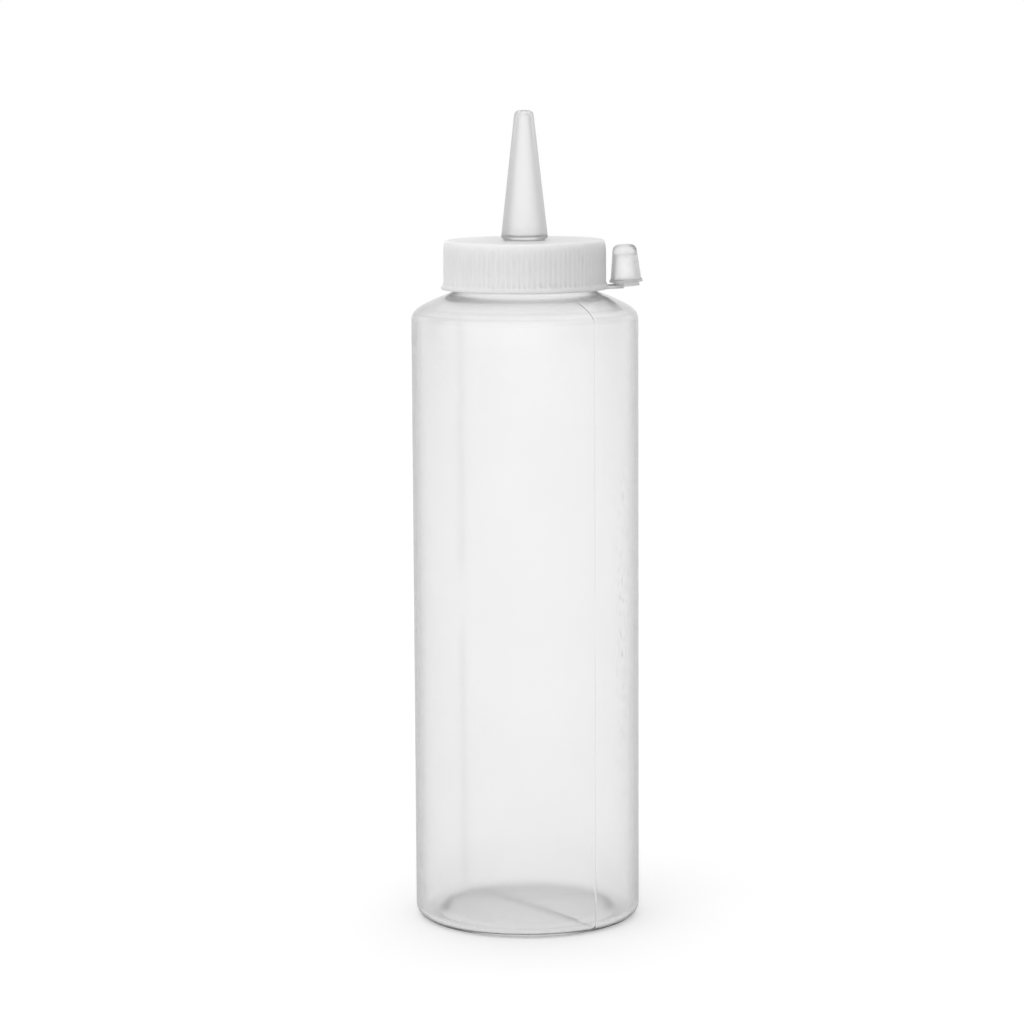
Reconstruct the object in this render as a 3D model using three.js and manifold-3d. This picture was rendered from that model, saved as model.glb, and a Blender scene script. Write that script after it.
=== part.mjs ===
import * as THREE from 'three';
import { mergeVertices, toCreasedNormals } from 'three/addons/utils/BufferGeometryUtils.js';
import Module from 'manifold-3d';

// Squeeze bottle for sauce: a blown bottle, a screw cap with a parking tab, a nozzle and a tip cap.
// Millimetres, +Z up. The origin is on the bottle's axis, in the plane that the bottle stands on.
// The parking tab points towards +X. Outlines are points of radius and height, turned about Z.

const degrees = THREE.MathUtils.degToRad;

// Clearances and how finely round shapes are divided
const seatGap = 0.3;
const threadGap = 0.35;
const cutOverrun = 1;
const arcStep = degrees(30);
const broadArcStep = degrees(6);
const creaseAngle = degrees(30);
const bottleSides = 60;
const capSides = 48;
const nozzleSides = 40;
const tipCapSides = 32;

// Bottle: a straight round body, a gently arched shoulder and a threaded neck
const bottleRadius = 28;
const bodyHeight = 149.9;
const bottleWall = 0.9;
const heelRounding = 3;
const standRingWidth = 3.6;
const pushUpHeight = 1.6;
const pushUpRun = 1;
const pushUpFloor = 1.1;
const shoulderCornerRounding = 3;
const shoulderCornerTurn = degrees(60);
const shoulderArcRadius = 43;
const neckRadius = 17.4;
const neckWall = 1.5;
const neckHeight = 10.1;
const neckFootRounding = 0.8;
const rimRounding = 0.4;

// Right-handed thread that the neck and the screw cap share
const threadPitch = 4.23;
const threadHeight = 1;
const threadRootWidth = 1.9;
const threadCrestWidth = 1;
const threadSink = 0.3;
const threadEndShare = 0.15;
const threadFadeTurns = 0.08;
const threadStepsPerTurn = 24;
const neckThreadTurns = 1.2;
const neckThreadDrop = 6.6;
const capThreadTurns = 1.1;
const capThreadStart = degrees(90);

// Screw cap: a ribbed skirt with a flared rim, a flat lid and the parking tab
const skirtWall = 1.05;
const capHeight = 11.9;
const lidThickness = 1.2;
const lidEdgeRounding = 0.5;
const lidEdgeDraft = 0.4;
const lidEdgeDraftHeight = 2;
const rimFlare = 0.58;
const rimBandHeight = 0.4;
const rimSlopeHeight = 1.3;
const ribCount = 96;
const ribDepth = 0.22;
const ribFootHeight = 1.2;
const ribValleyWidth = 0.36;
const ribMouthWidth = 0.8;
const tabWidth = 8;
const tabReach = 7.8;
const tabThickness = 0.7;
const tabRise = degrees(2.5);
const tabRoundSides = 12;
const studReach = 4.4;
const studCollarRadius = 3.3;
const studCollarHeight = 0.3;
const studHeight = 2.4;
const studRounding = 0.3;

// Nozzle: a hollow cone snapped through the lid, with a sealing flange and a plug under it
const nozzleLength = 31.3;
const nozzleTipRadius = 2.26;
const nozzleFootRadius = 5.78;
const nozzleFootRounding = 0.5;
const nozzleTipRounding = 1.4;
const nozzleWall = 1.04;
const nozzleEndWall = 1.2;
const nozzleEndRounding = 0.4;
const orificeRadius = 0.8;
const grooveRadius = 4.96;
const grooveGap = 0.4;
const footBoreRadius = 3.95;
const footRingHeight = 2;
const flangeThickness = 0.8;
const flangeInset = 0.4;
const plugDepth = 2.4;
const plugWall = 0.9;
const plugChamfer = 0.4;

// Tip cap: a thimble that closes the nozzle's end, parked on the tab's stud
const tipCapHeight = 9.2;
const tipCapWall = 0.8;
const tipCapEndWall = 2.35;
const tipCapEndRounding = 1.5;
const tipCapCover = 6.8;
const tipCapClearance = 0.03;
const tipCapLipWidth = 0.22;
const tipCapLipHeight = 0.7;
const sealPinLength = 1;
const sealPinGap = 0.25;

// Heights up the stack, each from the piece below
const shoulderCentreRadius = bottleRadius - shoulderCornerRounding
  - (shoulderArcRadius - shoulderCornerRounding) * Math.cos(shoulderCornerTurn);
const shoulderCentreHeight = bodyHeight
  - (shoulderArcRadius - shoulderCornerRounding) * Math.sin(shoulderCornerTurn);
const neckFootHeight = shoulderHeightAt(neckRadius, shoulderArcRadius);
const neckTop = neckFootHeight + neckHeight;
const flangeBottom = neckTop + seatGap;
const flangeTop = flangeBottom + flangeThickness;
const lidBottom = flangeTop + seatGap;
const lidTop = lidBottom + lidThickness;
const capBottom = lidTop - capHeight;
const nozzleFootHeight = lidTop + grooveGap;
const nozzleTop = nozzleFootHeight + nozzleLength;
const neckThreadBase = neckTop - neckThreadDrop;

// Radii that one piece takes from another
const neckBoreRadius = neckRadius - neckWall;
const capBoreRadius = neckRadius + threadHeight + threadGap;
const capRadius = capBoreRadius + skirtWall + ribDepth;
const rimRadius = capRadius + rimFlare;
const lidHoleRadius = grooveRadius + seatGap;
const nozzleSlope = (nozzleFootRadius - nozzleTipRadius) / nozzleLength;
const tipCapBoreRadius = nozzleTipRadius + tipCapCover * nozzleSlope + tipCapClearance;

const wasm = await Module();
wasm.setup();

// Height of the shoulder's arch at a distance from the axis, for its outer or inner radius.
function shoulderHeightAt(radius, archRadius) {
  const across = radius - shoulderCentreRadius;
  return shoulderCentreHeight + Math.sqrt(archRadius ** 2 - across ** 2);
}

// Arc of an outline as corners without rounding, from one angle to another, ends included.
function arc(centreRadius, centreHeight, radius, fromAngle, toAngle, largestStep) {
  const steps = Math.max(1, Math.ceil(Math.abs(toAngle - fromAngle) / largestStep));
  return Array.from({ length: steps + 1 }, (_, step) => {
    const angle = fromAngle + ((toAngle - fromAngle) * step) / steps;
    return [centreRadius + radius * Math.cos(angle), centreHeight + radius * Math.sin(angle)];
  });
}

// Arc that touches both sides of a corner.
function roundedCorner(before, corner, after, rounding) {
  const back = before.clone().sub(corner).normalize();
  const on = after.clone().sub(corner).normalize();
  const halfAngle = Math.acos(back.dot(on)) / 2;
  const centre = back.clone().add(on).setLength(rounding / Math.sin(halfAngle)).add(corner);
  const reach = rounding / Math.tan(halfAngle);
  const start = corner.clone().addScaledVector(back, reach).sub(centre).angle();
  const end = corner.clone().addScaledVector(on, reach).sub(centre).angle();
  const turn = Math.atan2(Math.sin(end - start), Math.cos(end - start));
  return arc(centre.x, centre.y, rounding, start, start + turn, arcStep)
    .map(([radius, height]) => new THREE.Vector2(radius, height));
}

// Outline from corners of [radius, height, rounding], where a rounding is left out of a sharp one.
function outline(corners) {
  const points = corners.map(([radius, height]) => new THREE.Vector2(radius, height));
  return corners.flatMap(([, , rounding], at) => (
    rounding ? roundedCorner(points[at - 1], points[at], points[at + 1], rounding) : [points[at]]
  ));
}

// Body turned about Z from corners that start and end on the axis, or close on themselves.
function turned(corners, sides) {
  return new THREE.LatheGeometry(outline(corners), sides).rotateX(Math.PI / 2);
}

// Closed mesh with shared vertices, without the triangles that collapse on the axis.
function welded(geometry) {
  geometry.deleteAttribute('normal');
  geometry.deleteAttribute('uv');
  const mesh = mergeVertices(geometry);
  const corners = mesh.index.array;
  const kept = [];
  for (let at = 0; at < corners.length; at += 3) {
    const [a, b, c] = corners.slice(at, at + 3);
    if (a !== b && b !== c && c !== a) kept.push(a, b, c);
  }
  return mesh.setIndex(kept);
}

// Solid for joins and cuts.
function solid(geometry) {
  const mesh = welded(geometry);
  return new wasm.Manifold(new wasm.Mesh({
    numProp: 3,
    vertProperties: new Float32Array(mesh.attributes.position.array),
    triVerts: new Uint32Array(mesh.index.array),
  }));
}

// Geometry of a finished solid.
function geometryOf(body) {
  const mesh = body.getMesh();
  const geometry = new THREE.BufferGeometry();
  geometry.setAttribute('position', new THREE.BufferAttribute(mesh.vertProperties, 3));
  geometry.setIndex(new THREE.BufferAttribute(mesh.triVerts, 1));
  return geometry;
}

// Thread ridge: a straight bar wound about Z, from a wall out to a crest, or in to one.
// Its root is sunk in the wall, and both ends fade into it.
function threadRidge(wallRadius, crestRadius, startAngle, startHeight, turns) {
  const side = Math.sign(crestRadius - wallRadius);
  const rootRadius = wallRadius - side * threadSink;
  const bar = new THREE.BoxGeometry(1, 1, 1, Math.ceil(turns * threadStepsPerTurn));
  const position = bar.attributes.position;
  for (let at = 0; at < position.count; at++) {
    const along = position.getX(at) + 1 / 2;
    const rise = position.getY(at) + 1 / 2;
    const across = -side * position.getZ(at);
    const turnsToEnd = Math.min(along, 1 - along) * turns;
    const fade = THREE.MathUtils.lerp(threadEndShare, 1, Math.min(1, turnsToEnd / threadFadeTurns));
    const radius = THREE.MathUtils.lerp(rootRadius, crestRadius, rise * fade);
    const width = THREE.MathUtils.lerp(threadRootWidth, threadCrestWidth, rise);
    const angle = startAngle + along * turns * 2 * Math.PI;
    const height = startHeight + along * turns * threadPitch + across * width;
    position.setXYZ(at, radius * Math.cos(angle), radius * Math.sin(angle), height);
  }
  return bar;
}

// Blown bottle: one skin from the recessed floor to the neck's rim, open at the mouth.
function bottle() {
  const cornerRadius = bottleRadius - shoulderCornerRounding;
  const standInside = bottleRadius - heelRounding - standRingWidth;
  const pushUpRadius = standInside - pushUpRun;
  const innerArch = shoulderArcRadius - bottleWall;
  const innerRadius = bottleRadius - bottleWall;
  const archEndRadius = neckRadius + neckFootRounding;
  const outerArchEnd = Math.acos((archEndRadius - shoulderCentreRadius) / shoulderArcRadius);
  const innerArchEnd = Math.acos((neckBoreRadius - shoulderCentreRadius) / innerArch);
  const skin = turned([
    [0, pushUpHeight],
    [pushUpRadius, pushUpHeight],
    [standInside, 0],
    [bottleRadius, 0, heelRounding],
    ...arc(cornerRadius, bodyHeight, shoulderCornerRounding, 0, shoulderCornerTurn, arcStep),
    ...arc(shoulderCentreRadius, shoulderCentreHeight, shoulderArcRadius,
      shoulderCornerTurn, outerArchEnd, broadArcStep),
    [neckRadius, neckFootHeight, neckFootRounding],
    [neckRadius, neckTop, rimRounding],
    [neckBoreRadius, neckTop, rimRounding],
    ...arc(shoulderCentreRadius, shoulderCentreHeight, innerArch,
      innerArchEnd, shoulderCornerTurn, broadArcStep),
    ...arc(cornerRadius, bodyHeight, shoulderCornerRounding - bottleWall,
      shoulderCornerTurn, 0, arcStep),
    [innerRadius, bottleWall, heelRounding - bottleWall],
    [standInside + bottleWall, bottleWall],
    [pushUpRadius + bottleWall / 2, pushUpHeight + pushUpFloor],
    [0, pushUpHeight + pushUpFloor],
  ], bottleSides);
  const thread = threadRidge(neckRadius, neckRadius + threadHeight, 0, neckThreadBase, neckThreadTurns);
  return geometryOf(solid(skin).add(solid(thread)));
}

// Valleys between the ribs of the skirt, as cutting bars side by side.
function ribValleys() {
  const bottom = capBottom + ribFootHeight;
  const floor = capRadius - ribDepth;
  const outside = capRadius + cutOverrun;
  const widening = (ribMouthWidth - ribValleyWidth) / ribDepth;
  const outerWidth = ribValleyWidth + (outside - floor) * widening;
  const section = new THREE.Shape([
    new THREE.Vector2(floor, -ribValleyWidth / 2),
    new THREE.Vector2(outside, -outerWidth / 2),
    new THREE.Vector2(outside, outerWidth / 2),
    new THREE.Vector2(floor, ribValleyWidth / 2),
  ]);
  const bar = new THREE.ExtrudeGeometry(section, { depth: lidTop - bottom, bevelEnabled: false });
  bar.translate(0, 0, bottom);
  return Array.from({ length: ribCount }, (_, rib) => (
    solid(bar.clone().rotateZ((rib * 2 * Math.PI) / ribCount))
  ));
}

// Places a geometry drawn on the parking tab: x outwards from the rim, z up from its underside.
function onTab(geometry) {
  return geometry.rotateY(-tabRise).translate(rimRadius, 0, capBottom);
}

// Parking tab: a flat tongue with a round end, rooted in the skirt's wall.
function parkingTab() {
  const endRadius = tabWidth / 2;
  const root = (capBoreRadius + capRadius) / 2 - rimRadius;
  const tongue = new THREE.Shape();
  tongue.moveTo(root, -endRadius);
  tongue.lineTo(tabReach - endRadius, -endRadius);
  tongue.absarc(tabReach - endRadius, 0, endRadius, -Math.PI / 2, Math.PI / 2);
  tongue.lineTo(root, endRadius);
  const plate = new THREE.ExtrudeGeometry(tongue, {
    depth: tabThickness, bevelEnabled: false, curveSegments: tabRoundSides,
  });
  return onTab(plate);
}

// Stud that holds the tip cap: a low collar under the mouth and a pin inside it.
function parkingStud() {
  const pinRadius = tipCapBoreRadius - seatGap;
  const pinTopRadius = pinRadius - studHeight * nozzleSlope;
  const pin = turned([
    [0, tabThickness / 2],
    [studCollarRadius, tabThickness / 2],
    [studCollarRadius, tabThickness + studCollarHeight],
    [pinRadius, tabThickness + studCollarHeight],
    [pinTopRadius, tabThickness + studHeight, studRounding],
    [0, tabThickness + studHeight],
  ], tipCapSides);
  return onTab(pin.translate(studReach, 0, 0));
}

// Screw cap: a turned shell with an inner thread, cut to ribs outside, with tab and stud joined on.
function screwCap() {
  const rimBandTop = capBottom + rimBandHeight;
  const edgeStart = [lidHoleRadius, lidBottom];
  const shell = turned([
    edgeStart,
    [capBoreRadius, lidBottom],
    [capBoreRadius, capBottom],
    [rimRadius, capBottom],
    [rimRadius, rimBandTop],
    [capRadius, rimBandTop + rimSlopeHeight],
    [capRadius, lidTop - lidEdgeDraftHeight],
    [capRadius - lidEdgeDraft, lidTop, lidEdgeRounding],
    [lidHoleRadius, lidTop],
    edgeStart,
  ], capSides);
  const threadStart = neckThreadBase - threadPitch / 2 + (capThreadStart / (2 * Math.PI)) * threadPitch;
  const thread = threadRidge(
    capBoreRadius, capBoreRadius - threadHeight, capThreadStart, threadStart, capThreadTurns,
  );
  const ribbed = ribValleys().reduce((body, valley) => body.subtract(valley), solid(shell));
  return geometryOf(ribbed.add(solid(thread)).add(solid(parkingTab())).add(solid(parkingStud())));
}

// Nozzle: cone, lid groove, flange and plug as one turned wall, open from end to end.
function nozzle() {
  const plugRadius = neckBoreRadius - seatGap;
  const plugBottom = flangeBottom - plugDepth;
  const plugInner = plugRadius - plugWall;
  const flangeRadius = neckRadius - flangeInset;
  const boreTop = nozzleTop - nozzleEndWall;
  const boreTopRadius = nozzleTipRadius + nozzleEndWall * nozzleSlope - nozzleWall;
  const footRingTop = nozzleFootHeight + footRingHeight;
  const coneBoreRadius = nozzleFootRadius - footRingHeight * nozzleSlope - nozzleWall;
  const start = [plugInner, plugBottom];
  return turned([
    start,
    [plugRadius - plugChamfer, plugBottom],
    [plugRadius, plugBottom + plugChamfer],
    [plugRadius, flangeBottom],
    [flangeRadius, flangeBottom],
    [flangeRadius, flangeTop],
    [grooveRadius, flangeTop],
    [grooveRadius, nozzleFootHeight],
    [nozzleFootRadius, nozzleFootHeight, nozzleFootRounding],
    [nozzleTipRadius, nozzleTop, nozzleTipRounding],
    [orificeRadius, nozzleTop],
    [orificeRadius, boreTop],
    [boreTopRadius, boreTop, nozzleEndRounding],
    [coneBoreRadius, footRingTop],
    [footBoreRadius, footRingTop],
    [footBoreRadius, flangeBottom],
    [plugInner, flangeBottom],
    start,
  ], nozzleSides);
}

// Tip cap: a thimble with a lip at its mouth and a sealing pin in its end. Its mouth is at zero.
function tipCap() {
  const boreEnd = tipCapHeight - tipCapEndWall;
  const pinRadius = orificeRadius - sealPinGap;
  const mouthRadius = tipCapBoreRadius + tipCapWall;
  return turned([
    [0, boreEnd - sealPinLength],
    [pinRadius, boreEnd - sealPinLength],
    [pinRadius, boreEnd],
    [tipCapBoreRadius - boreEnd * nozzleSlope, boreEnd],
    [tipCapBoreRadius, 0],
    [mouthRadius + tipCapLipWidth, 0],
    [mouthRadius + tipCapLipWidth, tipCapLipHeight],
    [mouthRadius - tipCapLipHeight * nozzleSlope, tipCapLipHeight],
    [mouthRadius - tipCapHeight * nozzleSlope, tipCapHeight, tipCapEndRounding],
    [0, tipCapHeight],
  ], tipCapSides);
}

// Moulded plastic piece under its name.
function piece(name, geometry, color, roughness) {
  const finish = new THREE.MeshStandardMaterial({ color, roughness, metalness: 0 });
  const mesh = new THREE.Mesh(toCreasedNormals(welded(geometry), creaseAngle), finish);
  mesh.name = name;
  return mesh;
}

const model = new THREE.Group();
model.add(piece('bottle', bottle(), 0xe9ebea, 0.38));
model.add(piece('nozzle', nozzle(), 0xe4e6e5, 0.35));
model.add(piece('screw_cap', screwCap(), 0xdedfde, 0.42));

// The tip cap stands on the stud's collar, square to the rising tab.
const parking = new THREE.Group();
parking.position.set(rimRadius, 0, capBottom);
parking.rotation.y = -tabRise;
const parkedCap = piece('tip_cap', tipCap(), 0xe6e8e7, 0.35);
parkedCap.position.set(studReach, 0, tabThickness + studCollarHeight + seatGap);
parking.add(parkedCap);
model.add(parking);

export default model;
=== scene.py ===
"""Sauce squeeze bottle: translucent blown body, ribbed screw cap, conical nozzle and a parked tip cap."""

import math

import bpy
from bpy.props import FloatProperty, FloatVectorProperty, IntProperty, PointerProperty
from mathutils import Matrix, Vector


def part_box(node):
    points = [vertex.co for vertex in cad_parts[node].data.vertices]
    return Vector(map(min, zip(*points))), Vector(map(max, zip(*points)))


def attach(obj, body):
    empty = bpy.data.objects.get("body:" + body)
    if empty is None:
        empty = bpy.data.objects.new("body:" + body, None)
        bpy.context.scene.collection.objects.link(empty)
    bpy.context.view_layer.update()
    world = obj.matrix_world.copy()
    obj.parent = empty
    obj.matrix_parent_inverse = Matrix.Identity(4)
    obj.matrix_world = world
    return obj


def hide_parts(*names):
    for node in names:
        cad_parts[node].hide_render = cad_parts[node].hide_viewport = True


bl_info = {
    "name": "Sauce Squeeze Bottle",
    "version": (1, 0, 0),
    "blender": (4, 5, 0),
    "location": "View3D > Sidebar > Squeeze Bottle",
    "description": "Models and finishes a translucent squeeze bottle around its packed frame",
    "category": "Object",
}

MM = 0.001
# Points nearer to each other than this are one point
MERGE_DISTANCE = 0.002 * MM
# Largest turn between the points of an arc, and of a small rounding
ARC_STEP = math.radians(7.5)
ROUNDING_STEP = math.radians(15)

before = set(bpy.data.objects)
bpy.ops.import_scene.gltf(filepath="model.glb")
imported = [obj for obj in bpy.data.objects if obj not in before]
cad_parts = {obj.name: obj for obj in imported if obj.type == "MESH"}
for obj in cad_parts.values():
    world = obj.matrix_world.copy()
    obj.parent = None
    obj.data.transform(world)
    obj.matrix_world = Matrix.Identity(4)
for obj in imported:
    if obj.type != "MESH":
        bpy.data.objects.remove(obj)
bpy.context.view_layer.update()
BOTTLE_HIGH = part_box("bottle")[1]
CAP_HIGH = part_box("screw_cap")[1]
NOZZLE_LOW, NOZZLE_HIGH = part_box("nozzle")


def linear(hex_code):
    """Linear colour of an sRGB hex value such as "#EDEDEB"."""
    channels = [int(hex_code[at:at + 2], 16) / 255 for at in (1, 3, 5)]
    return [c / 12.92 if c <= 0.04045 else ((c + 0.055) / 1.055) ** 2.4 for c in channels] + [1.0]


def length(name, description, metres):
    """Property for a length or a place, in metres."""
    return FloatProperty(name=name, description=description, default=metres, precision=5,
                         unit="LENGTH", subtype="DISTANCE")


def angle(name, description, degrees):
    """Property for an angle, given in degrees."""
    return FloatProperty(name=name, description=description, default=math.radians(degrees),
                         unit="ROTATION", subtype="ANGLE")


def share(name, description, value):
    """Property for a share, a roughness or a brightness."""
    return FloatProperty(name=name, description=description, default=value, min=0, subtype="FACTOR")


def count(name, description, value):
    """Property for a number of steps, copies or pixels."""
    return IntProperty(name=name, description=description, default=value, min=2)


def number(name, description, value):
    """Property for a plain number, such as an absorption per metre."""
    return FloatProperty(name=name, description=description, default=value, min=0)


def colour(name, description, hex_code):
    """Property for a colour, given as an sRGB hex value."""
    return FloatVectorProperty(name=name, description=description, default=linear(hex_code),
                               subtype="COLOR", size=4, min=0, max=1)


class BottleSizes(bpy.types.PropertyGroup):
    """Blown body, shoulder and neck."""

    radius: length("Radius", "Outside radius of the body", BOTTLE_HIGH.x)
    rim_height: length("Rim height", "Height of the neck's rim", BOTTLE_HIGH.z)
    body_height: length("Body height", "Height of the crease under the shoulder", 149.9 * MM)
    wall: length("Wall", "Thickness of the blown wall", 0.9 * MM)
    base_wall: length("Base wall", "Thickness of the wall where it meets the base", 1.35 * MM)
    base_wall_from: length("Base wall from", "Height below which the wall thickens", 85 * MM)
    base_wall_to: length("Base wall to", "Height at which it has its base thickness", 3.6 * MM)
    heel: length("Heel", "Radius of the rounded edge at the base", 3 * MM)
    stand_ring: length("Stand ring", "Width of the flat ring the bottle stands on", 3.6 * MM)
    push_up: length("Push-up", "Depth of the recess in the base", 1 * MM)
    push_up_run: length("Push-up run", "Width of the recess's sloping side", 2 * MM)
    push_up_floor: length("Push-up floor", "Thickness of the recessed floor", 0.9 * MM)
    push_up_edge: length("Push-up edge", "Rounding of the recess's edges", 1 * MM)
    corner: length("Corner", "Radius of the shoulder's outer corner", 2.6 * MM)
    corner_start: angle("Corner start", "Where the corner starts over the mould line", 5)
    corner_turn: angle("Corner turn", "How far the shoulder's corner turns inwards", 45)
    roll: length("Roll", "Radius between the shoulder's corner and its arch", 8 * MM)
    roll_turn: angle("Roll turn", "Slope at which the roll passes into the arch", 61.4)
    arch: length("Arch", "Radius of the shoulder's gentle arch", 43 * MM)
    arch_step: angle("Arch step", "Turn between neighbouring points of the arch", 1.5)
    crease_width: length("Crease width", "Width of the mould line under the shoulder", 0.5 * MM)
    crease_depth: length("Crease depth", "Depth of the mould line under the shoulder", 0.04 * MM)
    step_radius: length("Step radius", "Radius of the low step round the neck's foot", 20.8 * MM)
    step_height: length("Step height", "Height of the low step round the neck's foot", 0.02 * MM)
    step_slope: length("Step slope", "Width over which the low step falls", 0.3 * MM)
    step_end: length("Step end", "From the neck to where the low step's top ends", 2.24 * MM)
    neck: length("Neck", "Outside radius of the neck", 17.4 * MM)
    neck_wall: length("Neck wall", "Thickness of the neck", 0.9 * MM)
    neck_foot: length("Neck foot", "Rounding where the neck meets the shoulder", 1.6 * MM)
    neck_throat: length("Neck throat", "Rounding inside, where the neck opens", 2.5 * MM)
    rim: length("Rim", "Rounding of the neck's rim", 0.4 * MM)
    parting_angle: angle("Parting angle", "Angle of the mould's parting line, from the front to +X", 36.5)
    parting_width: length("Parting width", "Width of the parting line's ridge", 0.5625 * MM)
    parting_band: share("Parting band", "Width of the fine steps across it, in its own widths", 1.6)
    parting_height: length("Parting height", "Height of the parting line's ridge", 0.16 * MM)
    pinch_width: length("Pinch-off width", "Width of the welded seam under the base", 0.6 * MM)
    pinch_height: length("Pinch-off height", "Height of the welded seam under the base", 0.6 * MM)
    pinch_reach: length("Pinch-off reach", "How far the seam runs past the recess's floor", 6.5 * MM)
    pinch_bead: length("Pinch-off bead", "Height of its bead inside", 0.15 * MM)
    parting_steps: count("Parting steps", "Fine steps across a parting line", 8)
    main_steps: count("Steps", "Steps of each half turn between the parting lines", 96)
    wall_steps: count("Wall steps", "Steps up the outer wall", 24)


class ThreadSizes(bpy.types.PropertyGroup):
    """Right-handed thread of the neck and the screw cap."""

    pitch: length("Pitch", "Rise for each turn", 4.23 * MM)
    height: length("Height", "How far the ridge stands out", 1 * MM)
    root_width: length("Root width", "Width of the ridge at its wall", 1.9 * MM)
    crest_width: length("Crest width", "Width of the ridge at its crest", 1 * MM)
    sink: length("Sink", "How deep the ridge is rooted in its wall", 0.3 * MM)
    gap: length("Gap", "Radial clearance over a crest", 0.35 * MM)
    drop: length("Drop", "From the neck's rim down to where its thread starts", 6.6 * MM)
    run_out: angle("Run-out", "Turn over which a ridge's end fades", 14)
    neck_turns: number("Neck turns", "Turns of the neck's thread", 1.2)
    cap_turns: number("Cap turns", "Turns of the cap's thread", 1.1)
    cap_start: angle("Cap start", "Angle at which the cap's thread starts", 90)
    steps: count("Steps", "Steps of each turn", 72)


class CapSizes(bpy.types.PropertyGroup):
    """Screw cap with its parking tab."""

    top: length("Top", "Height of the lid's top", CAP_HIGH.z)
    height: length("Height", "Height of the whole cap", 11.9 * MM)
    lid: length("Lid", "Thickness of the lid", 1.2 * MM)
    wall: length("Wall", "Skirt's thickness under the ribs' valleys", 1.11 * MM)
    edge: length("Edge", "Rounding of the lid's edge", 0.5 * MM)
    inner_corner: length("Inner corner", "Rounding inside, between the lid and the skirt", 0.4 * MM)
    edge_draft: length("Edge draft", "How far the skirt leans in under the lid's edge", 0.4 * MM)
    edge_draft_height: length("Draft height", "Height over which the skirt leans in", 2 * MM)
    flare: length("Flare", "How far the rim stands out", 0.58 * MM)
    flare_height: length("Flare height", "Height over which the rim flares", 1.3 * MM)
    rim_band: length("Rim band", "Height of the rim's upright edge", 0.4 * MM)
    rim_edge: length("Rim edge", "Rounding of the rim's lower edges", 0.15 * MM)
    rim_top_edge: length("Rim top edge", "Rounding of the rim's upper edge", 0.2 * MM)
    hole: length("Hole", "Radius of the lid's hole", 5.26 * MM)
    rib_depth: length("Rib depth", "Depth of the valleys between the ribs", 0.16 * MM)
    rib_foot: length("Rib foot", "Height at which the ribs start", 1.2 * MM)
    rib_ledge: length("Rib ledge", "Height over which the valleys start", 0.12 * MM)
    rib_columns: count("Rib columns", "Columns of faces of each rib", 6)
    ribs: count("Ribs", "Ribs round the skirt", 96)
    skirt_steps: count("Skirt steps", "Steps up the ribbed skirt", 4)
    tab_width: length("Tab width", "Width of the parking tab", 8 * MM)
    tab_reach: length("Tab reach", "How far the tab reaches past the rim", 7.8 * MM)
    tab_thickness: length("Tab thickness", "Thickness of the tab", 0.7 * MM)
    tab_edge: length("Tab edge", "Rounding of the tab's edges", 0.18 * MM)
    tab_rise: angle("Tab rise", "Slope of the tab", 2.5)
    tab_steps: count("Tab steps", "Steps round the tab's end", 24)
    stud_reach: length("Stud reach", "From the rim to the stud's axis", 4.4 * MM)
    collar_radius: length("Collar radius", "Radius of the stud's collar", 3.3 * MM)
    collar_height: length("Collar height", "Height of the stud's collar", 0.3 * MM)
    collar_edge: length("Collar edge", "Rounding of the collar's edge", 0.12 * MM)
    stud_height: length("Stud height", "Height of the stud", 1.2 * MM)
    stud_edge: length("Stud edge", "Rounding of the stud's edge", 0.3 * MM)
    stud_steps: count("Stud steps", "Steps round the stud", 64)


class NozzleSizes(bpy.types.PropertyGroup):
    """Conical nozzle with its flange and plug."""

    top: length("Top", "Height of the nozzle's end", NOZZLE_HIGH.z)
    bottom: length("Bottom", "Height of the plug's lower edge", NOZZLE_LOW.z)
    flange: length("Flange", "Radius of the sealing flange", NOZZLE_HIGH.x)
    cone_length: length("Cone length", "Length of the cone above the lid", 31.3 * MM)
    tip: length("Tip radius", "Radius of the cone carried on to its end", 2.26 * MM)
    foot: length("Foot radius", "Radius of the cone at its foot", 5.78 * MM)
    wall: length("Wall", "Thickness of the cone's wall", 1.04 * MM)
    end_wall: length("End wall", "Thickness of the cone's end", 1.2 * MM)
    tip_rounding: length("Tip rounding", "Rounding of the end's edge", 1.4 * MM)
    foot_rounding: length("Foot rounding", "Rounding of the foot's edge", 0.5 * MM)
    bore_rounding: length("Bore rounding", "Rounding of the bore's end", 0.5 * MM)
    bore_start: length("Bore start", "From the bore's end to its straight stretch", 3 * MM)
    orifice: length("Orifice", "Radius of the hole in the end", 0.8 * MM)
    orifice_edge: length("Orifice edge", "Rounding of the hole's edge", 0.1 * MM)
    groove: length("Groove", "Radius of the neck that passes the lid", 4.96 * MM)
    groove_foot: length("Groove foot", "Rounding between the groove and the flange", 0.15 * MM)
    groove_top: length("Groove top", "Rounding between the groove and the cone", 0.1 * MM)
    foot_bore: length("Foot bore", "Radius of the bore in the foot", 3.95 * MM)
    foot_bore_edge: length("Foot bore edge", "Rounding of the foot bore's two edges", 0.2 * MM)
    foot_ring: length("Foot ring", "Height of the thicker wall in the foot", 0.9 * MM)
    flange_thickness: length("Flange thickness", "Thickness of the flange", 0.8 * MM)
    flange_edge: length("Flange edge", "Rounding of the flange's edges", 0.2 * MM)
    plug_depth: length("Plug depth", "How far the plug goes into the neck", 2.4 * MM)
    plug_wall: length("Plug wall", "Thickness of the plug", 0.9 * MM)
    plug_gap: length("Plug gap", "Clearance between the plug and the neck's bore", 0.3 * MM)
    plug_edge: length("Plug edge", "Rounding of the plug's lower edge", 0.4 * MM)
    plug_corner: length("Plug corner", "Rounding between the plug and the flange, inside", 0.3 * MM)
    cone_steps: count("Cone steps", "Steps up the cone and its bore", 8)
    steps: count("Steps", "Steps round the nozzle", 128)


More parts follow.
